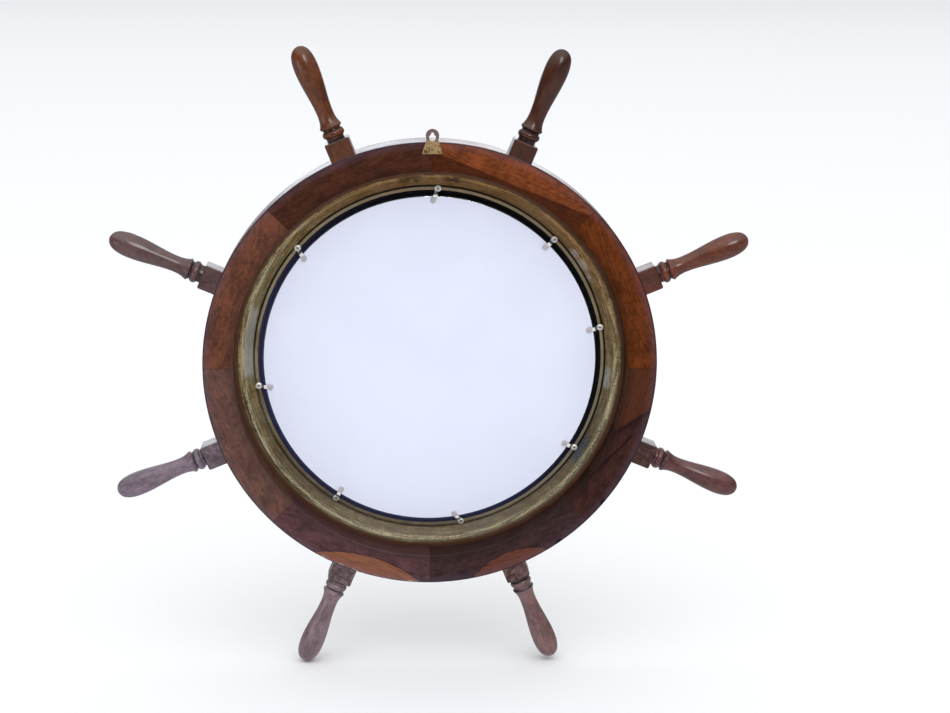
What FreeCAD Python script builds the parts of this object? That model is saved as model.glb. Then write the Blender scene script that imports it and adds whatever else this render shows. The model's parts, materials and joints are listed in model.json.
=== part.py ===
import FreeCAD, Part
import math
import os

# A ship's-wheel porthole mirror, in millimetres.
#
# The wheel's axis runs along Y and +Z is up. Its back, which goes against the wall, faces -Y.
# Inside this script "depth" is measured along +Y from the back face of the wooden rim, and "angle" is
# counted in degrees from +X towards +Z. save() moves each piece so that the origin is at the centre of
# the whole object.

V = FreeCAD.Vector
CENTRE = V(0, 0, 0)
TURN = V(0, -1, 0)  # turning about this vector carries +X towards +Z
INTO = V(0, 1, 0)  # the direction in which depth grows

# Wheel
SPAN = 762.0  # from the tip of one handle to the tip of the opposite one
TIP_RADIUS = SPAN / 2
RIM_RADIUS = SPAN / 3
RIM_WIDTH = 33.0
RIM_DEPTH = 42.0
RIM_BORE = RIM_RADIUS - RIM_WIDTH
ARRIS = 1.2
COUNT = 8  # felloes, handles and bezel screws
PITCH = 360.0 / COUNT

# Rebate in the front of the rim, which takes the bezel's body
REBATE_RADIUS = 227.0
REBATE_FLOOR = 30.5

# Dowels across the felloe joints
DOWEL_RADIUS = 4.0
DOWEL_LENGTH = 40.0
DOWEL_CIRCLE = 236.0
DOWEL_DEPTHS = (9.0, 25.0)

# Handles: distances along a handle are counted from its tip
HANDLE_DEPTH = 14.2
BLOCK_SIDE = 27.5
BLOCK_START = 108.0
BLOCK_CHAMFER = 1.2
TENON_RADIUS = 8.0
TENON_END = 231.0
NECK_RADIUS = 9.9
NECK_START = 105.0
GROOVE = 95.2  # bottom of the V between the collar and the bead
COLLAR = ((91.2, 12.0), (92.4, 12.35), (93.2, 11.6))  # three points of its arc, as (from the tip, radius)
BEAD = ((96.2, 10.1), (100.1, 12.4), (104.0, 10.1))
GRIP_SWELL = (
    (4.6, 8.7),
    (13.0, 12.2),
    (26.5, 13.4),
    (45.0, 12.1),
    (62.0, 10.0),
    (76.0, 9.1),
    (85.0, 9.8),
    (91.2, 12.0),
)
# The handles were fitted by hand: how much further out each one stands, and its angle off the even pitch
HANDLE_STANDOFFS = (1.0, -0.3, 1.5, 0.4, 2.0, 2.0, -1.5, 1.8)
HANDLE_LEANS = (0.1, 0.4, -0.2, 0.0, 0.0, 0.1, -0.2, -0.1)

# Bezel: the brass porthole ring
BEZEL_RADIUS = 247.0
FLANGE_FRONT = RIM_DEPTH + 4.2
CROWN_FRONT = RIM_DEPTH + 8.0
CROWN_START = 4.5  # the crown's flat top in front of the mirror's edge, from the lip outwards
CROWN_END = 19.5
COVE_START = 35.0  # the cove between the crown and the flange, from the lip outwards
COVE_END = 41.0
COVE_FLOOR = RIM_DEPTH - 3.0
THROAT_RADIUS = 213.5  # where the cone would meet the bezel's back face
THROAT_ROUNDING = 10.0
CONE_END = 201.0
LEDGE_DEPTH = 42.3  # back face of the narrow ring that the clips are screwed to
LEDGE_OUTER = 198.9
LEDGE_INNER = 195.3
LEDGE_CIRCLE = (LEDGE_OUTER + LEDGE_INNER) / 2
GROOVE_FLOOR = LEDGE_DEPTH + 2.1
SEAT_DEPTH = LEDGE_DEPTH + 2.7
LIP_RADIUS = 184.5
LIP_THICKNESS = 2.0

# Domed screw heads
HEAD_RIM_SHARE = 0.3  # how much of a head's height is its straight rim

# Screws that hold the bezel
BEZEL_SCREW_CIRCLE = 239.0
BEZEL_SCREW_RADIUS = 2.0
BEZEL_SCREW_LENGTH = 20.0
BEZEL_HEAD_RADIUS = 4.2
BEZEL_HEAD_HEIGHT = 2.2
BEZEL_SLOT = 1.0  # width and depth

# Mirror and its rubber gasket
MIRROR_RADIUS = 188.9
GLASS = 4.0
BACKING = 0.5
BED = SEAT_DEPTH - 3.0  # front face of the glass
BACKING_FACE = BED - GLASS - BACKING
GASKET_INNER = 186.0
GASKET_WALL = 191.2
GASKET_SUNK = 0.2  # how far the gasket's faces lie below the ledge and the backing
BACKING_MARGIN = 0.6  # bare glass round the backing
GLASS_BEVEL = 0.5

# Turn clips
CLIP_THICKNESS = 0.8
CLIP_WIDTH = 4.2
CLIP_EYE = 3.4
CLIP_BEND = 0.25  # inside radius of each bend
CLIP_RISER = 5.2  # far face of the riser, from the screw's axis
CLIP_REACH = 15.8
SLIP = 0.03  # clearance above and below a clip's eye
SHAFT_CLEARANCE = 0.05
SLEEVE_START = 10.0
SLEEVE_END = 16.6
SLEEVE_WIDTH = 5.4
SLEEVE_THICKNESS = 2.4
SLEEVE_OPEN_CORNER = 0.8
SLEEVE_CLOSED_CORNER = 2.3
SLEEVE_EDGE = 0.7
SLEEVE_GAP = 0.05  # between a sleeve and the mirror's backing
CLIP_ANGLES = (11.3, 45.2, 87.8, 139.0, 188.7, 236.7, 280.8, 328.1)
CLIP_TWISTS = (-1.0, -8.0, -21.0, -17.0, -11.0, 6.0, 25.0, 4.0)  # each clip's angle off the radius

# Clip screws
CLIP_SCREW_RADIUS = 1.25
CLIP_HEAD_RADIUS = 3.8
CLIP_HEAD_HEIGHT = 2.1
CLIP_SCREW_END = LEDGE_DEPTH + 5.2
CROSS_WIDTH = 1.1
CROSS_LENGTH = 4.4
CROSS_SINK = 1.2
SOCKET_RADIUS = 1.5  # the cone-shaped middle of the cross recess
SOCKET_SINK = 1.9

# Hanger plate
HANGER_THICKNESS = 1.6
HANGER_FOOT = 241.0  # height of the plate's lower edge above the axis
HANGER_FOOT_WIDTH = 23.0
HANGER_NECK_WIDTH = 12.6
HANGER_NECK = 256.8
EYE_HEIGHT = 260.9
EYE_RADIUS = 7.3
HOLE_HEIGHT = 258.6
HOLE_RADIUS = 3.7
SLOT_TOP = 264.4
SLOT_HALF_WIDTH = 1.6
HANGER_SCREW_HEIGHT = 244.0
HANGER_SCREW_SPACING = 15.0
HANGER_SCREW_RADIUS = 1.0
HANGER_SCREW_LENGTH = 12.0
HANGER_HEAD_RADIUS = 1.9
HANGER_HEAD_HEIGHT = 0.9

BACK = -HANGER_THICKNESS - HANGER_HEAD_HEIGHT
MIDDLE = (BACK + CROWN_FRONT) / 2  # depth of the object's middle


def outline(corners):
    """A closed wire in the XY plane through corners (x, y, rounding)."""
    count = len(corners)
    bends = []
    for i, (x, y, rounding) in enumerate(corners):
        corner = V(x, y, 0)
        before = V(*corners[i - 1][:2], 0) - corner
        after = V(*corners[(i + 1) % count][:2], 0) - corner
        before.normalize()
        after.normalize()
        half = before.getAngle(after) / 2
        bisector = before + after
        bisector.normalize()
        reach = rounding / math.tan(half)
        middle = corner + bisector * (rounding / math.sin(half) - rounding)
        bends.append((corner + before * reach, middle, corner + after * reach, rounding))
    edges = []
    for i, (start, middle, end, rounding) in enumerate(bends):
        if rounding:
            edges.append(Part.Arc(start, middle, end).toShape())
        edges.append(Part.makeLine(end, bends[(i + 1) % count][0]))
    return Part.Wire(edges)


def ring(corners, sweep=360.0):
    """The solid that a section of (radius, depth, rounding) corners sweeps round the wheel's axis."""
    return Part.Face(outline(corners)).revolve(CENTRE, TURN, sweep)


def turned(shape, angle):
    """A copy of a shape, turned round the wheel's axis."""
    copy = shape.copy()
    copy.rotate(CENTRE, TURN, angle)
    return copy


def whole(shape):
    """The one solid that a boolean operation has left, with its leftover seams removed."""
    return shape.removeSplitter().Solids[0]


def rod(radius, length, foot, direction):
    return Part.makeCylinder(radius, length, foot, direction)


def round_head(radius, height, foot, direction):
    """A domed screw head: a low cylinder under a spherical cap."""
    rim = height * HEAD_RIM_SHARE
    rise = height - rim
    ball = (radius ** 2 + rise ** 2) / (2 * rise)
    cap = Part.makeSphere(ball, foot + direction * (height - ball))
    return rod(radius, height, foot, direction).common(cap)


def crosswise(length, width, sink, top, direction):
    """A straight slot for a driver, sunk along direction into a head whose top is at a point on the Y axis."""
    slot = Part.makeBox(length, sink, width, V(-length / 2, 0, -width / 2))
    if direction.y < 0:
        slot.translate(V(0, -sink, 0))
    slot.translate(top)
    return slot


def felloe(number, fasteners):
    """One eighth of the rim, with a hole for each fastener that enters it."""
    section = (
        (RIM_BORE, 0, ARRIS),
        (RIM_RADIUS, 0, ARRIS),
        (RIM_RADIUS, RIM_DEPTH, ARRIS),
        (REBATE_RADIUS, RIM_DEPTH, 0),
        (REBATE_RADIUS, REBATE_FLOOR, 0),
        (RIM_BORE, REBATE_FLOOR, 0),
    )
    return whole(turned(ring(section, PITCH), PITCH * number).cut(fasteners))


def tenon():
    """A handle's round tenon, at angle 0."""
    return rod(TENON_RADIUS, RIM_RADIUS - TENON_END, V(TENON_END, HANDLE_DEPTH, 0), V(1, 0, 0))


def handle_angle(number):
    return PITCH * (number + 0.5) + HANDLE_LEANS[number]


def turned_grip():
    """The turned part of a handle along +X: grip, collar, bead and neck."""

    def place(from_tip, radius):
        return V(TIP_RADIUS - from_tip, radius, 0)

    swell = Part.BSplineCurve()
    swell.interpolate([place(0, 0)] + [place(*point) for point in GRIP_SWELL])
    collar = [place(*point) for point in COLLAR]
    groove = place(GROOVE, NECK_RADIUS)
    bead = [place(*point) for point in BEAD]
    neck = place(NECK_START, NECK_RADIUS)
    root = place(BLOCK_START + BLOCK_SIDE / 4, NECK_RADIUS)
    axis = V(root.x, 0, 0)
    edges = [
        swell.toShape(),
        Part.Arc(*collar).toShape(),
        Part.makeLine(collar[-1], groove),
        Part.makeLine(groove, bead[0]),
        Part.Arc(*bead).toShape(),
        Part.makeLine(bead[-1], neck),
        Part.makeLine(neck, root),
        Part.makeLine(root, axis),
        Part.makeLine(axis, place(0, 0)),
    ]
    return Part.Face(Part.Wire(edges)).revolve(CENTRE, V(1, 0, 0), 360)


def handle(number):
    """A handle: turned grip, square block coped to the rim, and tenon, all one piece of wood."""
    half = BLOCK_SIDE / 2
    inner = RIM_RADIUS - BLOCK_SIDE / 4  # inside the rim, whose circle is cut away below
    outer = TIP_RADIUS - BLOCK_START
    block = Part.makeBox(outer - inner, BLOCK_SIDE, BLOCK_SIDE, V(inner, -half, -half))
    block = block.makeChamfer(BLOCK_CHAMFER, block.Edges)
    body = block.fuse(turned_grip())
    body.translate(V(HANDLE_STANDOFFS[number], HANDLE_DEPTH, 0))
    rim = rod(RIM_RADIUS, 2 * RIM_DEPTH, V(0, -RIM_DEPTH / 2, 0), INTO)
    return turned(whole(body.cut(rim).fuse(tenon())), handle_angle(number))


def joint_dowels():
    """The two dowels of the felloe joint at angle 0."""
    return [
        rod(DOWEL_RADIUS, DOWEL_LENGTH, V(DOWEL_CIRCLE, depth, -DOWEL_LENGTH / 2), V(0, 0, 1))
        for depth in DOWEL_DEPTHS
    ]


def bezel_screw():
    """A round-headed slotted wood screw at angle 0, driven in from the front."""
    head = round_head(BEZEL_HEAD_RADIUS, BEZEL_HEAD_HEIGHT, V(0, FLANGE_FRONT, 0), INTO)
    top = V(0, FLANGE_FRONT + BEZEL_HEAD_HEIGHT, 0)
    slot = crosswise(3 * BEZEL_HEAD_RADIUS, BEZEL_SLOT, BEZEL_SLOT, top, -INTO)
    shank = rod(BEZEL_SCREW_RADIUS, BEZEL_SCREW_LENGTH, V(0, FLANGE_FRONT, 0), -INTO)
    screw = whole(head.cut(slot).fuse(shank))
    screw.translate(V(BEZEL_SCREW_CIRCLE, 0, 0))
    return screw


def bezel(holes):
    section = (
        (REBATE_RADIUS, REBATE_FLOOR, 0.4),
        (THROAT_RADIUS, REBATE_FLOOR, THROAT_ROUNDING),
        (CONE_END, LEDGE_DEPTH, 0.4),
        (CONE_END, GROOVE_FLOOR, 0.5),
        (LEDGE_OUTER, GROOVE_FLOOR, 0.5),
        (LEDGE_OUTER, LEDGE_DEPTH, 0.5),
        (LEDGE_INNER, LEDGE_DEPTH, 0.4),
        (LEDGE_INNER, SEAT_DEPTH, 0),
        (LIP_RADIUS, SEAT_DEPTH, 0.3),
        (LIP_RADIUS, SEAT_DEPTH + LIP_THICKNESS, 1.0),
        (LIP_RADIUS + CROWN_START, CROWN_FRONT, 2.5),
        (LIP_RADIUS + CROWN_END, CROWN_FRONT, 4.0),
        (LIP_RADIUS + COVE_START, COVE_FLOOR, 4.0),
        (LIP_RADIUS + COVE_END, FLANGE_FRONT, 2.5),
        (BEZEL_RADIUS, FLANGE_FRONT, 1.5),
        (BEZEL_RADIUS, RIM_DEPTH, 0.3),
        (REBATE_RADIUS, RIM_DEPTH, 0),
    )
    return whole(ring(section).cut(holes))


def gasket():
    section = (
        (GASKET_INNER, SEAT_DEPTH, 0.4),
        (LEDGE_INNER, SEAT_DEPTH, 0.3),
        (LEDGE_INNER, LEDGE_DEPTH + GASKET_SUNK, 0.6),
        (GASKET_WALL, LEDGE_DEPTH + GASKET_SUNK, 1.0),
        (GASKET_WALL, BACKING_FACE + GASKET_SUNK, 0.9),
        (MIRROR_RADIUS, BACKING_FACE + GASKET_SUNK, 0.3),
        (MIRROR_RADIUS, BED, 0),
        (GASKET_INNER, BED, 0.4),
    )
    return ring(section)


def mirror_glass():
    axis_to_rim = (
        (0, BED, 0),
        (0, BED - GLASS, 0),
        (MIRROR_RADIUS, BED - GLASS, GLASS_BEVEL),
        (MIRROR_RADIUS, BED, GLASS_BEVEL),
    )
    return ring(axis_to_rim)


def mirror_backing():
    return rod(MIRROR_RADIUS - BACKING_MARGIN, BACKING, V(0, BACKING_FACE, 0), INTO)


def clip_levels():
    """Depths of the clip: under its eye, over its eye, under its arm and over its arm."""
    eye_under = LEDGE_DEPTH - SLIP
    sleeve_under = BACKING_FACE - SLEEVE_GAP
    arm_under = sleeve_under - (SLEEVE_THICKNESS - CLIP_THICKNESS) / 2
    return eye_under, eye_under - CLIP_THICKNESS, arm_under, arm_under - CLIP_THICKNESS


def strip(corners, width):
    """A flat strip of the given width whose side view is corners (distance from the screw, depth, rounding),
    reaching from the screw's axis, which is the Y axis, towards -X."""
    side = Part.Face(outline([(-x, y, rounding) for x, y, rounding in corners]))
    solid = side.extrude(V(0, 0, width))
    solid.translate(V(0, 0, -width / 2))
    return solid


def clip():
    """A turn clip with its screw's axis on the Y axis: an eye, a riser and an arm."""
    eye_under, eye_over, arm_under, arm_over = clip_levels()
    inner_bend = CLIP_BEND
    outer_bend = inner_bend + CLIP_THICKNESS
    riser_near = CLIP_RISER - CLIP_THICKNESS
    band = strip(
        (
            (0, eye_under, 0),
            (CLIP_RISER, eye_under, outer_bend),
            (CLIP_RISER, arm_under, inner_bend),
            (CLIP_REACH, arm_under, 0),
            (CLIP_REACH, arm_over, 0),
            (riser_near, arm_over, outer_bend),
            (riser_near, eye_over, inner_bend),
            (0, eye_over, 0),
        ),
        CLIP_WIDTH,
    )
    eye = rod(CLIP_EYE, CLIP_THICKNESS, V(0, eye_over, 0), INTO)
    hole = rod(CLIP_SCREW_RADIUS + SHAFT_CLEARANCE, 2 * RIM_DEPTH, CENTRE, INTO)
    return whole(band.fuse(eye).cut(hole))


def clip_sleeve():
    """The soft sleeve pushed over the end of a clip's arm."""
    half = SLEEVE_WIDTH / 2
    plan = outline(
        (
            (-SLEEVE_START, -half, SLEEVE_OPEN_CORNER),
            (-SLEEVE_START, half, SLEEVE_OPEN_CORNER),
            (-SLEEVE_END, half, SLEEVE_CLOSED_CORNER),
            (-SLEEVE_END, -half, SLEEVE_CLOSED_CORNER),
        )
    )
    body = Part.Face(plan).extrude(V(0, 0, SLEEVE_THICKNESS))
    level_edges = [edge for edge in body.Edges if edge.BoundBox.ZLength < 0.01]
    body = body.makeFillet(SLEEVE_EDGE, level_edges)
    body.rotate(CENTRE, V(1, 0, 0), -90)
    body.translate(V(0, BACKING_FACE - SLEEVE_GAP - SLEEVE_THICKNESS, 0))
    return whole(body.cut(clip()))


def clip_screw():
    """A pan-headed screw with a cross recess, its axis on the Y axis."""
    under = LEDGE_DEPTH - 2 * SLIP - CLIP_THICKNESS
    top = V(0, under - CLIP_HEAD_HEIGHT, 0)
    head = round_head(CLIP_HEAD_RADIUS, CLIP_HEAD_HEIGHT, V(0, under, 0), -INTO)
    slot = crosswise(CROSS_LENGTH, CROSS_WIDTH, CROSS_SINK, top, INTO)
    across = slot.copy()
    across.rotate(CENTRE, INTO, 90)
    socket = Part.makeCone(SOCKET_RADIUS, 0, SOCKET_SINK, top, INTO)
    shank = rod(CLIP_SCREW_RADIUS, CLIP_SCREW_END - under, V(0, under, 0), INTO)
    return whole(head.cut(slot).cut(across).cut(socket).fuse(shank))


def on_ledge(shape, number):
    """A copy of a clip piece, twisted about its screw and moved to its place on the bezel's ledge."""
    copy = shape.copy()
    copy.rotate(CENTRE, TURN, CLIP_TWISTS[number])
    copy.translate(V(LEDGE_CIRCLE, 0, 0))
    return turned(copy, CLIP_ANGLES[number])


def hanger_plate():
    """A brass plate with splayed sides and an eye that stands above the rim. Its hole is a keyhole."""
    foot = HANGER_FOOT_WIDTH / 2
    neck = HANGER_NECK_WIDTH / 2
    body = outline(
        (
            (-foot, HANGER_FOOT, 0.8),
            (foot, HANGER_FOOT, 0.8),
            (neck, HANGER_NECK, 4.0),
            (neck, EYE_HEIGHT, 0),
            (-neck, EYE_HEIGHT, 0),
            (-neck, HANGER_NECK, 4.0),
        )
    )
    plate = Part.Face(body).extrude(V(0, 0, HANGER_THICKNESS))
    up = V(0, 0, 1)
    plate = plate.fuse(rod(EYE_RADIUS, HANGER_THICKNESS, V(0, EYE_HEIGHT, 0), up))
    slot_end = SLOT_TOP - SLOT_HALF_WIDTH
    hole = rod(HOLE_RADIUS, HANGER_THICKNESS, V(0, HOLE_HEIGHT, 0), up)
    slot = Part.makeBox(
        2 * SLOT_HALF_WIDTH, slot_end - HOLE_HEIGHT, HANGER_THICKNESS, V(-SLOT_HALF_WIDTH, HOLE_HEIGHT, 0)
    )
    slot = slot.fuse(rod(SLOT_HALF_WIDTH, HANGER_THICKNESS, V(0, slot_end, 0), up))
    plate = whole(plate.cut(hole).cut(slot))
    plate.rotate(CENTRE, V(1, 0, 0), 90)
    return whole(plate.cut(Part.makeCompound(hanger_screws())))


def hanger_screws():
    screws = []
    for side in (-1, 1):
        place = V(side * HANGER_SCREW_SPACING / 2, 0, HANGER_SCREW_HEIGHT)
        face = place - INTO * HANGER_THICKNESS
        head = round_head(HANGER_HEAD_RADIUS, HANGER_HEAD_HEIGHT, face, -INTO)
        shank = rod(HANGER_SCREW_RADIUS, HANGER_SCREW_LENGTH, face, INTO)
        screws.append(whole(head.fuse(shank)))
    return screws


def save(name, *solids):
    shape = Part.makeCompound(solids) if len(solids) > 1 else solids[0]
    shape.translate(V(0, -MIDDLE, 0))
    shape.exportStep(os.path.join("parts", name + ".step"))


def main():
    os.makedirs("parts", exist_ok=True)
    numbers = range(COUNT)

    dowels = [turned(dowel, PITCH * i) for i in numbers for dowel in joint_dowels()]
    bezel_screws = [turned(bezel_screw(), PITCH * (i + 0.5)) for i in numbers]
    clip_screws = [on_ledge(clip_screw(), i) for i in numbers]
    tenons = [turned(tenon(), handle_angle(i)) for i in numbers]
    in_wood = Part.makeCompound(dowels + bezel_screws + tenons + hanger_screws())
    in_brass = Part.makeCompound(bezel_screws + clip_screws)

    for i in numbers:
        save(f"handle_{i + 1}", handle(i))
        save(f"clip_{i + 1}", on_ledge(clip(), i))
        save(f"clip_sleeve_{i + 1}", on_ledge(clip_sleeve(), i))
        save(f"felloe_{i + 1}", felloe(i, in_wood))
    save("bezel", bezel(in_brass))
    save("gasket", gasket())
    save("mirror_glass", mirror_glass())
    save("mirror_backing", mirror_backing())
    save("hanger_plate", hanger_plate())
    save("hanger_screws", *hanger_screws())
    save("joint_dowels", *dowels)
    save("bezel_screws", *bezel_screws)
    save("clip_screws", *clip_screws)


main()
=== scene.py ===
"""Looks for the ship's-wheel porthole mirror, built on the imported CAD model.

Lengths are metres in the CAD frame: the wheel's axis runs along Y, +Z is up and the back, which the camera
sees, faces -Y. An angle is counted from +X towards +Z. Inside a material, places are in millimetres.
"""

import json
import math

import bpy
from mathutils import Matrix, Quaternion, Vector


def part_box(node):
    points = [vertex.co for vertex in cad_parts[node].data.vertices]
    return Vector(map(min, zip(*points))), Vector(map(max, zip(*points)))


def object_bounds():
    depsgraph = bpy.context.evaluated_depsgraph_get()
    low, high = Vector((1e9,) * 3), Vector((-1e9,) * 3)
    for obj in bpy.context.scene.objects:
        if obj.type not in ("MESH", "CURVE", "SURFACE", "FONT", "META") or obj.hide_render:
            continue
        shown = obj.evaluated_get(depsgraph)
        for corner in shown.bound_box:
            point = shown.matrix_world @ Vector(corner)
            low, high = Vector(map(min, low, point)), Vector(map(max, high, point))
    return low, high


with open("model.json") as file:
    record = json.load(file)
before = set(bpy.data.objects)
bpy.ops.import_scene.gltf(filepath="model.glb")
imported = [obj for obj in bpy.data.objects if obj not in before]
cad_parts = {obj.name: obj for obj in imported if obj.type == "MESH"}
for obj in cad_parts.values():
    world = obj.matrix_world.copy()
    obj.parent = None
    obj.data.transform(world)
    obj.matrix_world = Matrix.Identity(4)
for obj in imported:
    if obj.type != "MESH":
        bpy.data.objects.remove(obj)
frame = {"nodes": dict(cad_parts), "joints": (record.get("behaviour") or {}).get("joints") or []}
cad_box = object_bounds()

COUNT = 8  # felloes, handles and clips
PITCH = 360 / COUNT
MM = 0.001

# Sizes in millimetres that the looks depend on, read from the CAD model
RIM_LOW, RIM_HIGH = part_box("felloe_1")
BACK = RIM_LOW.y / MM  # the rim's back face
RIM_RADIUS = RIM_HIGH.x / MM
MIRROR_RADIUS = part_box("mirror_glass")[1].x / MM

# Where things are on the CAD parts, in millimetres: radii from the wheel's axis, and depths from the rim's
# back face. Two numbers are where a change starts and ends; four are where a band starts, is full, begins to
# fade and ends.
RIM_SIDE_RADII = (RIM_RADIUS - 1.0, RIM_RADIUS - 0.2)  # the rim's outer side
RIM_EDGE_SHADE_RADII = (RIM_RADIUS - 1.6, RIM_RADIUS - 0.3)  # the rim's back edge, darkened as painted shade
RIM_EDGE_SHADE_DEPTHS = (1.2, 2.6)
RIM_DUST_RADII = (RIM_RADIUS - 11.0, RIM_RADIUS - 3.0)
RIM_BEZEL_SHADE_RADII = (223.0, 236.0)  # painted shade on the wood next to the bezel
RIM_NICKS = (306.0, 321.4)  # angles of the dark nicks in the rim's back edge
CREASE_RADII = (208.0, 211.5, 212.5, 215.0)  # the bezel's crease, worn and given a painted highlight
CREASE_DEPTHS = (35.0, 36.5)
FRINGE_RADII = (217.0, 219.5)  # the bezel's brown fringe next to the wood, partly tarnish and partly painted shade
FRINGE_DEPTHS = (32.0, 36.0)
GROOVE_RADII = (198.5, 199.2, 200.9, 201.6)  # the groove between the bezel's cone and its ledge, darkened as painted shade
GROOVE_DEPTHS = (42.3, 42.9, 45.5, 46.5)
LEDGE_RADII = (198.6, 199.4)
LEDGE_DEPTHS = (42.8, 44.0)
FRONT_DEPTHS = (45.5, 47.0)  # where the bezel's front begins
# painted shade in each clip's bend
CLIP_BEND_SHADE_RADII = (190.4, 191.4, 193.0, 193.6)
HANDLE_GROOVES = ((286.5, 1.8), (275.5, 2.0))  # how far from the axis and half how wide
BLOCK_END = 275.0  # the outer end of a handle's square block

# Camera
CAMERA_AZIMUTH = -1.51
CAMERA_ELEVATION = 14.36
CAMERA_DISTANCE = 2.0
CAMERA_ROLL = 0.70
CAMERA_LENS = 67.05
CAMERA_REACH = 200  # how far it sees
CAMERA_AIM = Vector((0.0502, 0, 0.0086))

FLOOR_SIZE = 60

# Sky. Its colours go by height, from straight down, 0, through the horizon, 0.5, to straight up, 1
SKY_STRENGTH = 1.45
SKY_TURN = 0.7  # how far towards the camera, and away from it, the sky goes on changing in strength
SKY_BEHIND = 0.6  # how bright the sky is behind the wheel, as a share of what it is on the camera's side
BACKDROP = (0.80, 0.82, 0.85, 1)
SKY = (
    (0.10, (0.52, 0.53, 0.57, 1)),
    (0.42, (0.34, 0.35, 0.40, 1)),
    (0.52, (0.10, 0.10, 0.12, 1)),
    (0.66, (0.20, 0.21, 0.22, 1)),
    (0.86, (0.96, 0.98, 1.0, 1)),
)
WHITE = (1.0, 1.0, 1.0)
BLUISH = (0.92, 0.95, 1.0)
VIOLET = (0.92, 0.92, 1.0)

# Each soft light: name, place, what it points at, width, height, radiance, tint, and what it does with the
# floor, as in make_light
LIGHTS = (
    ("overhead", (0, -1.0, 3.6), (0, 0, 0), 5.0, 5.0, 0.36, WHITE, None),
    ("floor_white", (0, 0, 7.0), (0, 0, 0), 24.0, 24.0, 0.24, WHITE, "INCLUDE"),
    ("rear", (0, 5.5, 0.95), (0, 0, 0.2), 7.0, 1.8, 1.65, BLUISH, "EXCLUDE"),
    ("front", (0.9, -3.6, 2.4), (0, 0, 0), 1.6, 1.6, 7.0, WHITE, "EXCLUDE"),
    ("low", (-2.4, -1.6, -0.2), (0, 0, 0), 1.6, 1.0, 1.6, VIOLET, "EXCLUDE"),
)


def srgb(red, green, blue):
    """A colour given as it looks on a screen, 0 to 255, as the linear colour that a shader takes."""
    return tuple((c / 255) ** 2.2 for c in (red, green, blue)) + (1,)


# ---------------------------------------------------------------------------------------------------------
# Materials


class Paint:
    """One material's node tree, with a short call for each kind of node used here."""

    def __init__(self, name):
        self.material = bpy.data.materials.new(name)
        self.material.use_nodes = True
        self.tree = self.material.node_tree
        self.tree.nodes.clear()

    def add(self, kind, inputs, **settings):
        """Adds a node. inputs gives a value, or a socket to link, for each input's name or number."""
        node = self.tree.nodes.new("ShaderNode" + kind)
        for key, value in settings.items():
            setattr(node, key, value)
        for key, value in dict(inputs).items():
            if isinstance(value, bpy.types.NodeSocket):
                self.tree.links.new(value, node.inputs[key])
            else:
                node.inputs[key].default_value = value
        return node

    def math(self, operation, *values):
        return self.add("Math", enumerate(values), operation=operation).outputs[0]

    def step(self, value, low, high, start=0, end=1):
        """Goes smoothly from start to end as value goes from low to high."""
        inputs = {"Value": value, "From Min": low, "From Max": high, "To Min": start, "To Max": end}
        return self.add("MapRange", inputs, interpolation_type="SMOOTHSTEP").outputs[0]

    def band(self, value, start, full, fading, end):
        """1 where value is between full and fading, going smoothly to 0 at start and at end."""
        return self.math("MULTIPLY", self.step(value, start, full), self.step(value, end, fading))

    def mix(self, share, first, second):
        inputs = {0: share, 6: first, 7: second}
        return self.add("Mix", inputs, data_type="RGBA").outputs[2]

    def vector(self, operation, *values):
        return self.add("VectorMath", enumerate(values), operation=operation).outputs[0]

    def distance(self, place, other):
        return self.add("VectorMath", {0: place, 1: other}, operation="DISTANCE").outputs["Value"]

    def split(self, place):
        return self.add("SeparateXYZ", {0: place}).outputs

    def join(self, x, y, z):
        return self.add("CombineXYZ", {0: x, 1: y, 2: z}).outputs[0]

    def place(self, turn=0.0):
        """Where a point is, in millimetres, after the piece is turned by -turn degrees, so that a piece at
        that angle lies along +X."""
        where = self.add("TexCoord", {}).outputs["Object"]
        turned = self.add("VectorRotate", {"Vector": where, "Axis": (0, 1, 0), "Angle": math.radians(turn)})
        return self.vector("MULTIPLY", turned.outputs[0], (1 / MM, 1 / MM, 1 / MM))

    def noise(self, place, stretch, detail=2.0, roughness=0.5):
        """Cloudy noise from 0 to 1 about 1 / stretch millimetres across in each direction."""
        scaled = self.vector("MULTIPLY", place, stretch)
        inputs = {"Vector": scaled, "Scale": 1.0, "Detail": detail, "Roughness": roughness}
        return self.add("TexNoise", inputs).outputs[0]

    def streaks(self, value, scale, detail=1.0):
        """Uneven bands along one number."""
        inputs = {"W": value, "Scale": scale, "Detail": detail}
        return self.add("TexNoise", inputs, noise_dimensions="1D").outputs[0]

    def cells(self, place, scale):
        """Distance from the nearest of many scattered points, about 1 / scale millimetres apart."""
        return self.add("TexVoronoi", {"Vector": place, "Scale": scale}).outputs["Distance"]

    def bump(self, height, distance, below=None):
        """distance is how many millimetres high a height of 1 stands."""
        inputs = {"Height": height, "Distance": distance * MM, "Strength": 1.0}
        if below is not None:
            inputs["Normal"] = below
        return self.add("Bump", inputs).outputs[0]

    def finish(self, **inputs):
        """Ends the tree with a Principled shader; an input's name has _ for each space."""
        named = {key.replace("_", " "): value for key, value in inputs.items()}
        shader = self.add("BsdfPrincipled", named)
        self.add("OutputMaterial", {"Surface": shader.outputs[0]})
        return self.material


def length(paint, first, second):
    """The length of a vector with these two components."""
    squares = [paint.math("MULTIPLY", component, component) for component in (first, second)]
    return paint.math("SQRT", paint.math("ADD", *squares))


def radius_of(paint, place):
    """Distance from the wheel's axis."""
    x, _, z = paint.split(place)
    return length(paint, x, z)


def shade(colour, amount):
    """The same colour, amount times as bright."""
    return tuple(c * amount for c in colour[:3]) + (1,)


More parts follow.
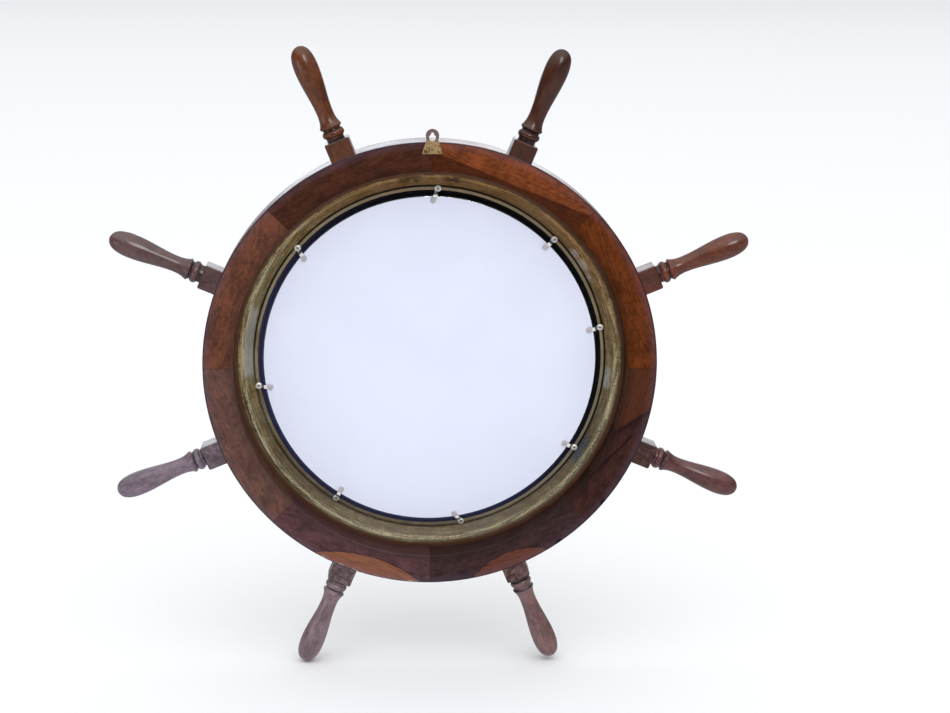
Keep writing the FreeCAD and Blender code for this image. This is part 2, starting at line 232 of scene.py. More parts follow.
def wood_figure(paint, place, heart):
    """Shares of light wood, of open pores and of fine fibres for wood whose grain runs along Z and whose
    trunk's heart is at heart, (x, y)."""
    wander = paint.noise(place, (0.012, 0.012, 0.010), detail=1.0)
    x, y, _ = paint.split(paint.vector("SUBTRACT", place, (*heart, 0)))
    rings = paint.streaks(paint.math("MULTIPLY_ADD", wander, 34.0, length(paint, x, y)), 0.33, 3.0)
    fibres = paint.noise(place, (1.1, 1.1, 0.06), detail=3.0, roughness=0.6)
    clouds = paint.noise(place, (0.07, 0.07, 0.045), detail=3.0, roughness=0.6)
    mottle = paint.noise(place, (0.30, 0.30, 0.16), detail=3.0, roughness=0.65)
    pores = paint.noise(place, (2.4, 2.4, 0.16), detail=1.0)
    light = paint.math("MULTIPLY_ADD", rings, 0.14, paint.math("MULTIPLY", fibres, 0.20))
    light = paint.math("MULTIPLY_ADD", clouds, 0.46, light)
    light = paint.math("MULTIPLY_ADD", mottle, 0.40, light)
    return paint.step(light, 0.46, 0.74), paint.step(pores, 0.60, 0.74), fibres


def wood_finish(paint, colour, pores, fibres, place, gloss, coat):
    """Worn varnish over wood. gloss says how much of it shines, from 0 to 1, and may vary over the piece;
    coat is a clear top layer."""
    colour = paint.mix(paint.math("MULTIPLY", pores, 0.42), colour, srgb(20, 10, 8))
    rubbed = paint.noise(place, (0.045, 0.045, 0.03), detail=3.0)
    height = paint.math("SUBTRACT", paint.math("MULTIPLY", fibres, 0.5), pores)
    ripple = paint.bump(paint.noise(place, (0.06, 0.06, 0.02)), 0.5)
    return paint.finish(
        Base_Color=colour,
        Roughness=paint.step(rubbed, 0.3, 0.7, 0.46, 0.32),
        Specular_IOR_Level=paint.math("MULTIPLY", gloss, 0.5),
        Coat_Weight=coat,
        Coat_Roughness=paint.step(rubbed, 0.35, 0.65, 0.20, 0.10),
        Coat_Normal=ripple,
        Normal=paint.bump(height, 0.05, ripple),
    )


def middle_of(number):
    """The angle at which a felloe's middle and a handle lie."""
    return PITCH * (number + 0.5)


def rim_wood(number, tone, gloss, heart, figure):
    """Wood of one felloe. The felloe's middle lies along the material's +X, and its grain along Z. gloss is
    how much varnish is left on its faces, and figure adds what only this felloe shows."""
    paint = Paint(f"rim_wood_{number + 1}")
    here = paint.place(middle_of(number))
    shift = (310.0 * number, 97.0 * number, 1700.0 * number)  # so that no two felloes show the same grain
    place = paint.vector("ADD", here, shift)
    share, pores, fibres = wood_figure(paint, place, (shift[0] + heart[0], shift[1] + heart[1]))
    colour = paint.mix(share, shade(tone, 0.58), shade(tone, 1.42))
    if figure:
        colour = figure(paint, here, colour, fibres)
    radius = radius_of(paint, here)
    colour = rim_dust_and_shade(paint, colour, here, place, radius, tone)
    colour = rim_nicks(paint, colour, here, number)
    colour = joint_lines(paint, colour, here)
    side = paint.step(radius, *RIM_SIDE_RADII)
    varnish = paint.math("MAXIMUM", side, gloss)
    return wood_finish(paint, colour, pores, fibres, place, varnish, paint.math("MULTIPLY", side, 0.6))


def rim_dust_and_shade(paint, colour, here, place, radius, tone):
    """Painted shade as a dark line along the rim's back edge, dust beside it, and painted shade darkening
    the wood next to the bezel.
    """
    depth = paint.math("SUBTRACT", paint.split(here)[1], BACK)
    blotches = paint.noise(place, (0.12, 0.12, 0.05), detail=2.0)
    # painted shade: a dark line along the rim's back edge
    edge = paint.step(paint.math("ADD", radius, blotches), *RIM_EDGE_SHADE_RADII)
    edge = paint.math("MULTIPLY", edge, paint.step(depth, *RIM_EDGE_SHADE_DEPTHS, 0.85, 0))
    colour = paint.mix(edge, colour, srgb(22, 14, 26))
    dust = paint.step(radius, *RIM_DUST_RADII, 0, 0.24)
    colour = paint.mix(paint.math("MULTIPLY", dust, blotches), colour, srgb(108, 98, 118))
    # painted shade: the wood is darkened next to the bezel, where the two parts meet
    inner = paint.math("MULTIPLY_ADD", blotches, 5.0, radius)
    return paint.mix(paint.step(inner, *RIM_BEZEL_SHADE_RADII, 0.5, 0), colour, shade(tone, 0.35))


def rim_nicks(paint, colour, here, number):
    """Dark nicks in one felloe's outer edge."""
    for angle in RIM_NICKS:
        turn = math.radians(angle - middle_of(number))
        nick = (RIM_RADIUS * math.cos(turn), BACK, RIM_RADIUS * math.sin(turn))
        near = paint.step(paint.distance(here, nick), 5.5, 3.0, 0, 0.85)
        colour = paint.mix(near, colour, srgb(16, 12, 26))
    return colour


def joint_lines(paint, colour, here):
    """The dark glue lines at a felloe's two ends."""
    off = RIM_RADIUS  # in the end, how far a point is from the nearer end
    for side in (-1, 1):
        turn = math.radians(side * PITCH / 2)
        turned = paint.add("VectorRotate", {"Vector": here, "Axis": (0, 1, 0), "Angle": turn}).outputs[0]
        off = paint.math("MINIMUM", paint.math("ABSOLUTE", paint.split(turned)[2]), off)
    return paint.mix(paint.step(off, 0.8, 0.2, 0, 0.4), colour, srgb(24, 12, 12))


def broad_sapwood(paint, here, colour, fibres):
    """Dark wood only at the felloe's inner corners, with a straight edge along the grain."""
    edge = paint.math("MULTIPLY_ADD", fibres, 3.0, paint.split(here)[0])
    return paint.mix(paint.step(edge, 228.5, 226.5, 0, 0.68), colour, srgb(36, 16, 10))


def sap_lens(middle, deepest, curve, ragged, tint, chips):
    """A lens of light wood at the felloe's outer edge: middle is its middle along the felloe, deepest is how
    near the axis it comes there, and chips says how much pale bare wood shows along its outer edge."""

    def add(paint, here, colour, fibres):
        x, _, z = paint.split(here)
        off = paint.math("SUBTRACT", z, middle)
        limit = paint.math("MULTIPLY_ADD", paint.math("MULTIPLY", off, off), curve, deepest)
        tooth = paint.math("MULTIPLY", paint.math("SUBTRACT", fibres, 0.5), ragged)
        over = paint.math("ADD", paint.math("SUBTRACT", x, limit), tooth)
        light = paint.mix(paint.step(fibres, 0.3, 0.7), shade(tint, 0.75), shade(tint, 1.25))
        bare = paint.noise(here, (0.9, 0.9, 0.25), detail=2.0)
        edge = paint.step(radius_of(paint, here), RIM_RADIUS - 2.6, RIM_RADIUS - 1.4, 0, chips)
        edge = paint.math("MULTIPLY", edge, paint.step(bare, 0.50, 0.58))
        light = paint.mix(edge, light, srgb(214, 206, 204))
        seam = paint.step(paint.math("ABSOLUTE", over), 2.2, 0.2, 0, 0.55)
        return paint.mix(paint.step(over, -0.3, 0.9), paint.mix(seam, colour, srgb(34, 18, 18)), light)

    return add


def end_sapwood(paint, here, colour, fibres):
    """Lighter wood beyond a slanting edge near the felloe's far end, and a long dark shake."""
    x, _, z = paint.split(here)
    shake = paint.math("MULTIPLY_ADD", z, -0.39, paint.math("SUBTRACT", x, 236.4))
    shake = paint.math("ABSOLUTE", paint.math("MULTIPLY_ADD", fibres, 2.5, shake))
    dark = paint.math("MULTIPLY", paint.step(shake, 2.0, 0.4, 0, 0.8), paint.step(z, 22.0, 10.0))
    colour = paint.mix(dark, colour, srgb(24, 13, 12))
    slant = paint.math("MULTIPLY_ADD", paint.math("SUBTRACT", x, 212.0), -1.41, z)
    slant = paint.math("MULTIPLY_ADD", fibres, 6.0, slant)
    colour = paint.mix(paint.step(paint.math("ABSOLUTE", slant), 6.0, 1.0, 0, 0.6), colour, srgb(30, 17, 14))
    tone = srgb(78, 43, 27)
    light = paint.mix(paint.step(fibres, 0.3, 0.7), shade(tone, 0.75), shade(tone, 1.25))
    return paint.mix(paint.step(slant, 3.0, 9.0), colour, light)


SMOOTH_LENS = sap_lens(
    middle=38.0, deepest=230.5, curve=0.0032, ragged=2.0, tint=srgb(124, 76, 54), chips=0.8
)
RAGGED_LENS = sap_lens(
    middle=-3.0, deepest=235.5, curve=0.0060, ragged=9.0, tint=srgb(94, 54, 43), chips=0.0
)

# Each felloe: its colour, how much varnish is left, where the heart of its trunk was, and its own figure
RIM_WOOD = (
    (srgb(90, 48, 25), 0.06, (150.0, -60.0), None),
    (srgb(110, 59, 34), 0.10, (170.0, 40.0), broad_sapwood),
    (srgb(68, 39, 28), 0.16, (320.0, 30.0), None),
    (srgb(95, 56, 40), 0.40, (170.0, 50.0), None),
    (srgb(92, 60, 50), 0.70, (330.0, -40.0), None),
    (srgb(78, 49, 50), 0.60, (160.0, 60.0), SMOOTH_LENS),
    (srgb(58, 38, 38), 0.35, (340.0, 60.0), RAGGED_LENS),
    (srgb(59, 35, 30), 0.22, (160.0, -50.0), end_sapwood),
)


def handle_wood(number, tone, gloss, dirt):
    """Wood of one handle, which lies along the material's +Z. dirt says how brown its square block is."""
    paint = Paint(f"handle_wood_{number + 1}")
    here = paint.place(middle_of(number) - 90)
    shift = (210.0 * number, 41.0 * number, 900.0 * number)  # so that no two handles show the same grain
    place = paint.vector("ADD", here, shift)
    share, pores, fibres = wood_figure(paint, place, (shift[0] + 26.0, shift[1] + 18.0))
    colour = paint.mix(share, shade(tone, 0.64), shade(tone, 1.32))
    along = paint.split(here)[2]
    blotches = paint.noise(place, (0.2, 0.2, 0.2), detail=2.0)
    brown = paint.step(along, BLOCK_END, BLOCK_END - 2.5, 0, dirt)
    brown = paint.math("MULTIPLY", brown, paint.step(blotches, 0.36, 0.60, 0.45, 1.1))
    colour = paint.mix(brown, colour, srgb(53, 28, 5))
    # painted shade, with some dirt: the grooves are darkened
    for groove, half in HANDLE_GROOVES:
        away = paint.math("ABSOLUTE", paint.math("SUBTRACT", along, groove))
        away = paint.math("MULTIPLY_ADD", blotches, 1.2, away)
        colour = paint.mix(paint.step(away, half + 1.0, half - 0.6, 0, 0.85), colour, srgb(22, 13, 18))
    lathe = paint.streaks(along, 2.4, 2.0)
    colour = paint.mix(paint.step(lathe, 0.62, 0.8, 0, 0.22), colour, srgb(30, 18, 20))
    rubbed = paint.noise(place, (0.08, 0.08, 0.05), detail=2.0)
    varnish = paint.step(rubbed, 0.3, 0.7, gloss * 0.7, gloss * 1.3)
    return wood_finish(paint, colour, pores, fibres, place, varnish, 0.7)


# Each handle: its colour, how much varnish is left, and how brown its block is. The pale lilac-grey colours
# of handles 4 to 7, most of all 5 and 6, hold painted sheen: a haze of reflected light on the lower handles.
HANDLE_WOOD = (
    (srgb(96, 52, 36), 0.2, 0.45),
    (srgb(64, 34, 19), 0.2, 0.15),
    (srgb(90, 50, 27), 0.2, 0.25),
    (srgb(86, 60, 58), 0.5, 0.35),
    (srgb(112, 96, 107), 0.6, 0.55),
    (srgb(119, 97, 102), 0.6, 0.72),
    (srgb(114, 84, 83), 0.5, 0.88),
    (srgb(89, 53, 49), 0.4, 1.00),
)


def dowel_wood():
    """Pale bare wood. The dowels are hidden in the rim, so their grain just runs along Y."""
    paint = Paint("dowel_wood")
    place = paint.place()
    fibres = paint.noise(place, (1.4, 0.12, 1.4), detail=3.0)
    colour = paint.mix(paint.step(fibres, 0.3, 0.7), srgb(176, 138, 96), srgb(206, 172, 128))
    return paint.finish(Base_Color=colour, Roughness=0.7, Normal=paint.bump(fibres, 0.08))


# Marks on the bezel: angle and half its width in degrees, nearest and furthest radius, colour, strength, and
# how ragged it is, from 0 to 1
BEZEL_MARKS = (
    (37.5, 1.9, 201.0, 207.5, srgb(190, 182, 170), 0.75, 0.6),
    (33.0, 2.2, 201.0, 208.5, srgb(194, 182, 166), 0.80, 0.6),
    (28.5, 1.6, 200.5, 206.0, srgb(190, 182, 170), 0.70, 0.6),
    (83.5, 3.0, 206.5, 213.0, srgb(66, 46, 26), 0.85, 0.8),
    (96.5, 4.0, 206.5, 213.0, srgb(66, 46, 26), 0.85, 0.8),
    (174.0, 11.0, 200.5, 210.5, srgb(176, 176, 170), 0.65, 0.3),
    # painted shade: a dark line along the edge of the crease
    (206.0, 16.0, 213.2, 215.4, srgb(54, 42, 28), 0.85, 0.3),
    (329.0, 5.0, 200.5, 208.0, srgb(62, 74, 82), 0.85, 0.6),
    (354.0, 3.5, 200.5, 206.5, srgb(160, 166, 166), 0.65, 0.6),
)


def bezel_marks(paint, colour, x, z, radius, depth, spots):
    """Stains of lime, bare grey metal and dark tarnish on the bezel's back, and a dark line of painted shade
    along the crease's edge. spots is noise from 0 to 1.
    """
    angle = paint.math("MULTIPLY", paint.math("ARCTAN2", z, x), 180 / math.pi)
    wander = paint.math("SUBTRACT", spots, 0.5)
    behind = paint.step(depth, 43.0, 42.0)  # so that the marks don't show on the front
    for middle, half, low, high, tint, strength, ragged in BEZEL_MARKS:
        turned = paint.math("WRAP", paint.math("SUBTRACT", angle, middle), 180.0, -180.0)
        off = paint.math("MULTIPLY_ADD", wander, 8.0 * ragged, paint.math("ABSOLUTE", turned))
        inside = paint.math("MULTIPLY", behind, paint.step(off, half + 1.0, half - 1.5, 0, strength))
        reach = paint.math("MULTIPLY_ADD", wander, 8.0 * ragged, radius)
        ring = paint.band(reach, low - 0.5, low + 0.5, high - 0.6, high + 0.6)
        inside = paint.math("MULTIPLY", inside, ring)
        inside = paint.math("MULTIPLY", inside, paint.step(spots, 0.40, 0.54, 1 - ragged, 1))
        colour = paint.mix(inside, colour, tint)
    return colour


def bezel_brass():
    """Cast and turned brass with concentric streaks, golden at the top, darkened low down as painted shade,
    and with a painted highlight along its crease.
    """
    paint = Paint("bezel_brass")
    place = paint.place()
    x, y, z = paint.split(place)
    depth = paint.math("SUBTRACT", y, BACK)
    radius = radius_of(paint, place)
    across = paint.math("SUBTRACT", radius, depth)
    ring_place = paint.join(paint.math("MULTIPLY", x, 0.03), paint.math("MULTIPLY", z, 0.03), across)
    streaks = paint.noise(ring_place, (1.0, 1.0, 0.35), detail=3.0, roughness=0.65)
    fine = paint.noise(ring_place, (5.0, 5.0, 1.4), detail=3.0, roughness=0.65)
    clouds = paint.noise(place, (0.03, 0.03, 0.03), detail=4.0, roughness=0.6)
    spots = paint.noise(place, (0.16, 0.16, 0.16), detail=4.0, roughness=0.65)
    grit = paint.noise(place, (0.7, 0.7, 0.7), detail=3.0, roughness=0.7)
    golden = paint.step(paint.math("MULTIPLY_ADD", x, 0.3, z), 60.0, 190.0)
    colour = paint.mix(paint.step(streaks, 0.38, 0.62), srgb(108, 91, 56), srgb(168, 149, 106))
    colour = paint.mix(paint.step(spots, 0.44, 0.60, 0, 0.6), colour, srgb(112, 86, 50))
    colour = paint.mix(paint.step(clouds, 0.52, 0.62, 0, 0.4), colour, srgb(118, 116, 100))
    colour = paint.mix(paint.math("MULTIPLY", golden, 0.55), colour, srgb(132, 88, 44))
    # painted shade: the colour is darkened and greyed towards the bottom, against the light that falls there
    low = paint.math("MULTIPLY_ADD", x, -0.15, z)
    colour = paint.mix(paint.step(low, 40.0, -150.0, 0, 0.72), colour, srgb(84, 76, 66))
    colour = paint.mix(paint.step(fine, 0.55, 0.66, 0, 0.6), colour, srgb(66, 54, 34))
    colour = paint.mix(paint.step(grit, 0.60, 0.70, 0, 0.55), colour, srgb(60, 48, 34))
    # painted highlight, with worn metal: the crease's bright colour
    bright = paint.mix(golden, srgb(206, 196, 156), srgb(188, 146, 84))
    colour = paint.mix(crease_wear_and_highlight(paint, z, radius, depth, grit, streaks), colour, bright)
    colour = bezel_marks(paint, colour, x, z, radius, depth, spots)
    # tarnish and painted shade next to the wood
    colour = paint.mix(brown_fringe_and_shade(paint, z, radius, depth, spots), colour, srgb(90, 58, 38))
    lower_left = paint.math("SUBTRACT", 0.0, paint.math("ADD", x, z))
    colour = paint.mix(bare_ledge(paint, lower_left, radius, depth), colour, srgb(168, 156, 130))
    front = paint.step(depth, *FRONT_DEPTHS, 0, 0.75)
    front = paint.math("MULTIPLY", front, paint.step(clouds, 0.66, 0.50, 0.5, 1))
    colour = paint.mix(front, colour, srgb(188, 156, 90))
    # painted shade in the groove
    colour = paint.mix(groove_shade(paint, z, lower_left, radius, depth), colour, srgb(22, 14, 10))
    waves = paint.bump(clouds, 1.2, paint.bump(streaks, 0.35))
    return paint.finish(
        Base_Color=colour,
        Metallic=paint.math("MAXIMUM", front, paint.step(clouds, 0.35, 0.65, 0.55, 0.3)),
        Roughness=paint.step(spots, 0.3, 0.7, 0.32, 0.5),
        Specular_IOR_Level=0.4,
        Normal=paint.bump(fine, 0.2, waves),
    )


def crease_wear_and_highlight(paint, z, radius, depth, grit, streaks):
    """How much worn bright metal and painted highlight show on the crease between the bezel's cone and its
    rounded throat.
    """
    worn = paint.math("MULTIPLY", paint.band(radius, *CREASE_RADII), paint.step(depth, *CREASE_DEPTHS, 1, 0))
    patchy = paint.step(paint.math("MULTIPLY", grit, streaks), 0.20, 0.30, 0.0, 0.7)
    patchy = paint.math("MULTIPLY", patchy, paint.step(z, -190.0, -120.0, 0.5, 1))
    return paint.math("MULTIPLY", worn, patchy)


def brown_fringe_and_shade(paint, z, radius, depth, spots):
    """How brown the bezel is next to the wood, partly tarnish and partly painted shade where it meets the
    wood, in a band that is wider at the top.
    """
    wander = paint.math("MULTIPLY_ADD", spots, 4.0, radius)
    wander = paint.math("ADD", wander, paint.step(z, 60.0, 190.0, 0, 3.0))
    brown = paint.step(wander, *FRINGE_RADII, 0, 0.9)
    return paint.math("MULTIPLY", brown, paint.step(depth, *FRINGE_DEPTHS, 1, 0))


def bare_ledge(paint, lower_left, radius, depth):
    """How much lighter the ledge under the clips is; it is dull at the lower left."""
    ledge = paint.step(radius, *LEDGE_RADII, 1, 0)
    ledge = paint.math("MULTIPLY", ledge, paint.step(depth, *LEDGE_DEPTHS, 1, 0))
    return paint.math("MULTIPLY", ledge, paint.step(lower_left, 250.0, 60.0, 0.15, 0.45))


def groove_shade(paint, z, lower_left, radius, depth):
    """How much painted shade darkens the groove beside the ledge; less of it low down and at the lower left.
    """
    groove = paint.math("MULTIPLY", paint.band(radius, *GROOVE_RADII), paint.band(depth, *GROOVE_DEPTHS))
    low = paint.step(z, -185.0, -110.0, 0.35, 1)
    shade_share = paint.math("MINIMUM", low, paint.step(lower_left, 250.0, 130.0, 0.45, 1))
    return paint.math("MULTIPLY", paint.math("MULTIPLY", groove, 0.95), shade_share)


def screw_brass():
    """Dull turned brass with fine scratches and patches of tarnish."""
    paint = Paint("brass_screw")
    place = paint.place()
    clouds = paint.noise(place, (0.22, 0.22, 0.22), detail=4.0, roughness=0.6)
    scratches = paint.noise(place, (0.6, 0.6, 0.6), detail=3.0, roughness=0.7)
    colour = paint.mix(paint.step(scratches, 0.35, 0.65), srgb(142, 120, 74), srgb(172, 150, 100))
    colour = paint.mix(paint.step(clouds, 0.46, 0.60, 0, 0.85), colour, srgb(98, 76, 48))
    return paint.finish(
        Base_Color=colour,
        Metallic=1.0,
        Roughness=paint.step(clouds, 0.3, 0.7, 0.34, 0.52),
        Normal=paint.bump(scratches, 0.03),
    )


def hanger_brass():
    """Stamped brass plate, brown-spotted; its eye, which stands above the rim, is painted dull and dark as
    painted shade.
    """
    paint = Paint("hanger_brass")
    place = paint.place()
    clouds = paint.noise(place, (0.25, 0.25, 0.25), detail=4.0, roughness=0.65)
    scratches = paint.noise(place, (2.2, 2.2, 0.5), detail=3.0, roughness=0.7)
    colour = paint.mix(paint.step(scratches, 0.35, 0.65), srgb(142, 116, 78), srgb(188, 160, 112))
    colour = paint.mix(paint.step(clouds, 0.48, 0.60, 0, 0.8), colour, srgb(104, 76, 50))
    # painted shade: the eye above the rim is darkened
    height = paint.math("MULTIPLY_ADD", clouds, 4.0, paint.split(place)[2])
    dull = paint.step(height, RIM_RADIUS + 2.0, RIM_RADIUS + 5.5, 0, 0.85)
    colour = paint.mix(dull, colour, srgb(112, 92, 96))
    return paint.finish(
        Base_Color=colour,
        Metallic=0.5,
        Roughness=paint.step(clouds, 0.3, 0.7, 0.34, 0.5),
        Normal=paint.bump(scratches, 0.05),
    )


def scratched_steel(paint, place, spots):
    """Plated steel's colour, with brown spots, and its scratches."""
    scratches = paint.noise(place, (1.4, 1.4, 0.3), detail=3.0, roughness=0.7)
    colour = paint.mix(paint.step(scratches, 0.35, 0.65), srgb(232, 230, 226), srgb(252, 251, 247))
    return paint.mix(paint.step(spots, 0.60, 0.70, 0, 0.4), colour, srgb(120, 108, 90)), scratches


def clip_steel():
    """Plated steel of the clips, with painted shade in the bend behind each screw's head."""
    paint = Paint("clip_steel")
    place = paint.place()
    spots = paint.noise(place, (0.9, 0.9, 0.9), detail=3.0)
    colour, scratches = scratched_steel(paint, place, spots)
    radius = radius_of(paint, place)
    # painted shade: the bend behind each screw's head is darkened
    bend = paint.math("MULTIPLY", paint.band(radius, *CLIP_BEND_SHADE_RADII), 0.92)
    return paint.finish(
        Base_Color=paint.mix(bend, colour, srgb(24, 22, 34)),
        Metallic=0.2,
        Roughness=paint.step(spots, 0.3, 0.7, 0.28, 0.45),
        Normal=paint.bump(scratches, 0.03),
    )


def screw_steel():
    """The clips' screws: painted shade in each cross recess and round the head's edge, and the lower ones
    gone dull.
    """
    paint = Paint("screw_steel")
    place = paint.place()
    spots = paint.noise(place, (0.9, 0.9, 0.9), detail=3.0)
    colour, scratches = scratched_steel(paint, place, spots)
    flat = paint.vector("MULTIPLY", place, (1, 0, 1))
    off = RIM_RADIUS  # in the end, how far a point is from its own screw's axis
    for joint in frame["joints"]:
        x, _, z = joint["pos_m"]
        off = paint.math("MINIMUM", paint.distance(flat, (x / MM, 0, z / MM)), off)
    dull = paint.step(paint.split(place)[2], -80.0, -150.0, 0, 0.55)
    colour = paint.mix(dull, colour, srgb(140, 136, 122))
    # painted shade: darker in each cross recess and round the head's edge
    colour = paint.mix(paint.step(off, 2.1, 1.0, 0, 0.75), colour, srgb(96, 84, 70))
    colour = paint.mix(paint.step(off, 3.3, 3.8, 0, 0.6), colour, srgb(70, 62, 56))
    return paint.finish(
        Base_Color=colour,
        Metallic=0.3,
        Roughness=paint.step(spots, 0.3, 0.7, 0.28, 0.45),
        Normal=paint.bump(scratches, 0.03),
    )


def gasket_rubber():
    """Black rubber, greyed to navy low on the left as painted haze of reflected light, with faint patches of
    dust.
    """
    paint = Paint("gasket_rubber")
    place = paint.place()
    clouds = paint.noise(place, (0.15, 0.15, 0.15), detail=3.0)
    grain = paint.noise(place, (2.2, 2.2, 2.2), detail=2.0)
    x, _, z = paint.split(place)
    # painted reflection: a navy haze towards the lower left
    painted_haze = paint.step(paint.math("ADD", x, z), 170.0, -210.0)
    colour = paint.mix(painted_haze, srgb(3, 4, 8), srgb(51, 52, 79))
    dust = paint.step(paint.math("MULTIPLY", clouds, grain), 0.26, 0.42, 0, 0.3)
    colour = paint.mix(dust, colour, srgb(60, 60, 80))
    return paint.finish(
        Base_Color=colour,
        Roughness=paint.step(clouds, 0.3, 0.7, 0.5, 0.7),
        Specular_IOR_Level=0.12,
        Normal=paint.bump(grain, 0.05),
    )


def backing_paint():
    """Pale paint sprayed on the mirror's back, with a fine orange peel and a few dark specks."""
    paint = Paint("backing_paint")
    place = paint.place()
    clouds = paint.noise(place, (0.012, 0.012, 0.012), detail=2.0)
    peel = paint.noise(place, (0.5, 0.5, 0.5), detail=2.0)
    colour = paint.mix(paint.step(clouds, 0.3, 0.7), srgb(221, 224, 241), srgb(224, 227, 244))
    specks = paint.step(paint.cells(place, 0.05), 0.035, 0.015, 0, 0.35)
    colour = paint.mix(specks, colour, srgb(150, 140, 150))
    return paint.finish(Base_Color=colour, Roughness=0.5, Normal=paint.bump(peel, 0.05))


def mirror_silver():
    """Silvered glass seen from the front, with faint smears and grey creep at its edge."""
    paint = Paint("mirror_silver")
    place = paint.place()
    smears = paint.noise(place, (0.02, 0.02, 0.05), detail=4.0, roughness=0.65)
    creep = paint.noise(place, (0.08, 0.08, 0.08), detail=4.0)
    edge = paint.math("MULTIPLY_ADD", creep, 5.0, radius_of(paint, place))
    lost = paint.step(edge, MIRROR_RADIUS + 0.5, MIRROR_RADIUS + 3.0, 0, 0.7)
    colour = paint.mix(lost, (0.86, 0.89, 0.88, 1), srgb(96, 100, 98))
    return paint.finish(
        Base_Color=colour,
        Metallic=paint.math("SUBTRACT", 1.0, paint.math("MULTIPLY", lost, 0.6)),
        Roughness=paint.step(smears, 0.45, 0.75, 0.015, 0.07),
        Coat_Weight=1.0,
        Coat_Roughness=0.01,
    )


def sleeve_vinyl():
    """Soft clear vinyl tube that has gone cloudy."""
    paint = Paint("sleeve_vinyl")
    place = paint.place()
    clouds = paint.noise(place, (0.4, 0.4, 0.4), detail=2.0)
    colour = paint.mix(paint.step(clouds, 0.3, 0.7), srgb(236, 226, 230), srgb(248, 242, 246))
    return paint.finish(
        Base_Color=colour,
        Roughness=0.35,
        IOR=1.42,
        Transmission_Weight=0.5,
        Normal=paint.bump(clouds, 0.15),
    )


def floor_paper():
    """Matt white paper."""
    paint = Paint("floor_paper")
    place = paint.place()
    fibre = paint.noise(place, (0.2, 0.2, 0.2), detail=3.0)
    colour = paint.mix(fibre, (0.90, 0.90, 0.91, 1), (0.93, 0.93, 0.94, 1))
    return paint.finish(Base_Color=colour, Roughness=0.9, Specular_IOR_Level=0.1)


def dress(node, material):
    """Gives a CAD node its material."""
    slots = frame["nodes"][node].data.materials
    slots.clear()
    slots.append(material)


# ---------------------------------------------------------------------------------------------------------
# Stage


def make_floor():
    """Lays the floor just under the wheel, and returns two groups for linking lights: one for lights that
    light the floor alone, INCLUDE, and one for lights that leave it out, EXCLUDE."""
    bpy.ops.mesh.primitive_plane_add(size=FLOOR_SIZE, location=(0, 0, cad_box[0].z - 0.5 * MM))
    floor = bpy.context.object
    floor.name = "floor"
    floor.data.materials.append(floor_paper())
    floor.visible_glossy = False
    groups = {}
    for state in ("INCLUDE", "EXCLUDE"):
        groups[state] = bpy.data.collections.new(f"floor_{state.lower()}")
        groups[state].objects.link(floor)
        groups[state].collection_objects[0].light_linking.link_state = state
    return groups


def make_camera():
    azimuth, elevation = math.radians(CAMERA_AZIMUTH), math.radians(CAMERA_ELEVATION)
    away = Vector((math.sin(azimuth), -math.cos(azimuth), 0)) * math.cos(elevation)
    away.z = math.sin(elevation)
    data = bpy.data.cameras.new("camera")
    data.lens = CAMERA_LENS
    data.clip_end = CAMERA_REACH
    camera = bpy.data.objects.new("camera", data)
    camera.location = away * CAMERA_DISTANCE
    camera.rotation_mode = "QUATERNION"
    level = (CAMERA_AIM - camera.location).to_track_quat("-Z", "Y")
    camera.rotation_quaternion = level @ Quaternion((0, 0, 1), math.radians(CAMERA_ROLL))
    bpy.context.scene.collection.objects.link(camera)
    bpy.context.scene.camera = camera


def make_light(floor_groups, name, place, aim, width, height, radiance, tint, floor_state):
    """A soft rectangular light that the camera doesn't see. floor_state says what it lights: everything but
    the floor (EXCLUDE), the floor alone, without the wheel's shadow (INCLUDE), or everything (None)."""
    data = bpy.data.lights.new(name, "AREA")
    data.shape = "RECTANGLE"
    data.size, data.size_y = width, height
    data.energy = radiance * math.pi * width * height
    data.color = tint
    light = bpy.data.objects.new(name, data)
    light.location = place
    light.rotation_mode = "QUATERNION"
    light.rotation_quaternion = (Vector(aim) - Vector(place)).to_track_quat("-Z", "Y")
    light.visible_camera = False
    bpy.context.scene.collection.objects.link(light)
    if floor_state:
        light.light_linking.receiver_collection = floor_groups[floor_state]
    if floor_state == "INCLUDE":
        light.light_linking.blocker_collection = floor_groups[floor_state]


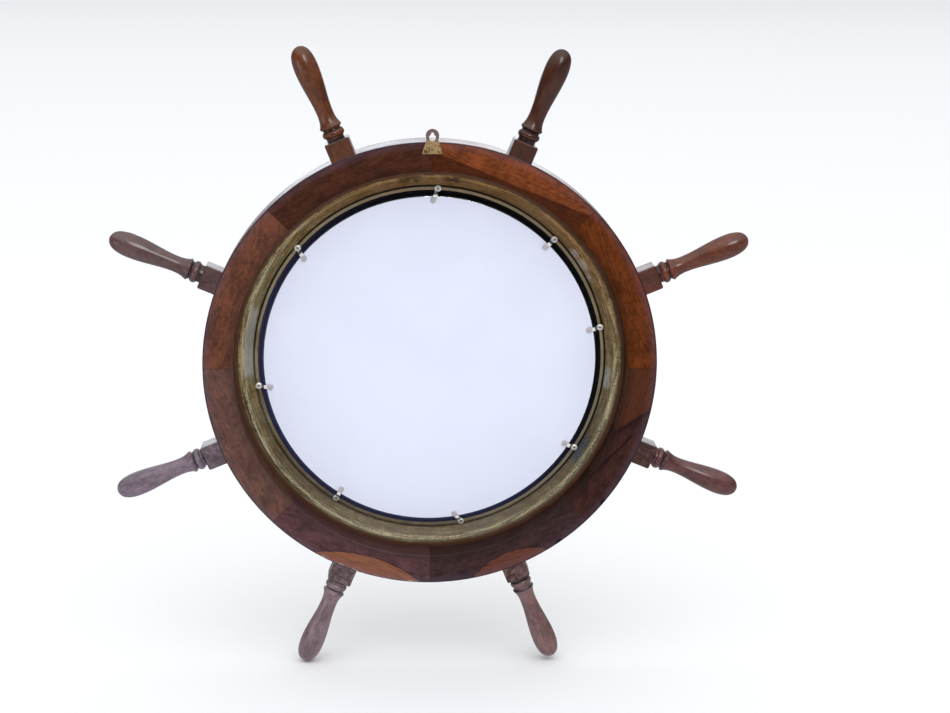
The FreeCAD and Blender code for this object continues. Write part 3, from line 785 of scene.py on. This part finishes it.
def make_world():
    """Pale light from above that fades towards the horizon, and a dim glow from below for whatever reflects
    past the floor. The camera itself sees an even pale backdrop beyond the floor."""
    world = bpy.data.worlds.new("sky")
    world.use_nodes = True
    tree = world.node_tree
    sky = tree.nodes["Background"]
    direction = tree.nodes.new("ShaderNodeTexCoord")
    split = tree.nodes.new("ShaderNodeSeparateXYZ")
    ramp = tree.nodes.new("ShaderNodeValToRGB")
    height = tree.nodes.new("ShaderNodeMapRange")
    strength = tree.nodes.new("ShaderNodeMapRange")
    height.inputs["From Min"].default_value = -1
    strength.inputs["From Min"].default_value = -SKY_TURN
    strength.inputs["From Max"].default_value = SKY_TURN
    strength.inputs["To Min"].default_value = SKY_STRENGTH
    strength.inputs["To Max"].default_value = SKY_STRENGTH * SKY_BEHIND
    tree.links.new(direction.outputs["Generated"], split.inputs[0])
    tree.links.new(split.outputs["Z"], height.inputs["Value"])
    tree.links.new(split.outputs["Y"], strength.inputs["Value"])
    tree.links.new(height.outputs[0], ramp.inputs[0])
    tree.links.new(ramp.outputs[0], sky.inputs["Color"])
    tree.links.new(strength.outputs[0], sky.inputs["Strength"])
    stops = ramp.color_ramp.elements
    for _ in SKY[2:]:
        stops.new(0.5)
    for stop, (place, tint) in zip(stops, SKY):
        stop.position = place
        stop.color = tint
    backdrop = tree.nodes.new("ShaderNodeBackground")
    backdrop.inputs["Color"].default_value = BACKDROP
    ray = tree.nodes.new("ShaderNodeLightPath")
    choice = tree.nodes.new("ShaderNodeMixShader")
    tree.links.new(ray.outputs["Is Camera Ray"], choice.inputs[0])
    tree.links.new(sky.outputs[0], choice.inputs[1])
    tree.links.new(backdrop.outputs[0], choice.inputs[2])
    tree.links.new(choice.outputs[0], tree.nodes["World Output"].inputs["Surface"])
    bpy.context.scene.world = world


make_camera()
floor_groups = make_floor()
make_world()
for light in LIGHTS:
    make_light(floor_groups, *light)
bpy.context.scene.view_settings.view_transform = "Standard"

for i, look in enumerate(RIM_WOOD):
    dress(f"felloe_{i + 1}", rim_wood(i, *look))
for i, look in enumerate(HANDLE_WOOD):
    dress(f"handle_{i + 1}", handle_wood(i, *look))

steel = clip_steel()
brass_screw = screw_brass()
vinyl = sleeve_vinyl()
dress("bezel", bezel_brass())
dress("bezel_screws", brass_screw)
dress("gasket", gasket_rubber())
dress("mirror_glass", mirror_silver())
dress("mirror_backing", backing_paint())
dress("clip_screws", screw_steel())
dress("hanger_plate", hanger_brass())
dress("hanger_screws", brass_screw)
dress("joint_dowels", dowel_wood())
for i in range(COUNT):
    dress(f"clip_{i + 1}", steel)
    dress(f"clip_sleeve_{i + 1}", vinyl)
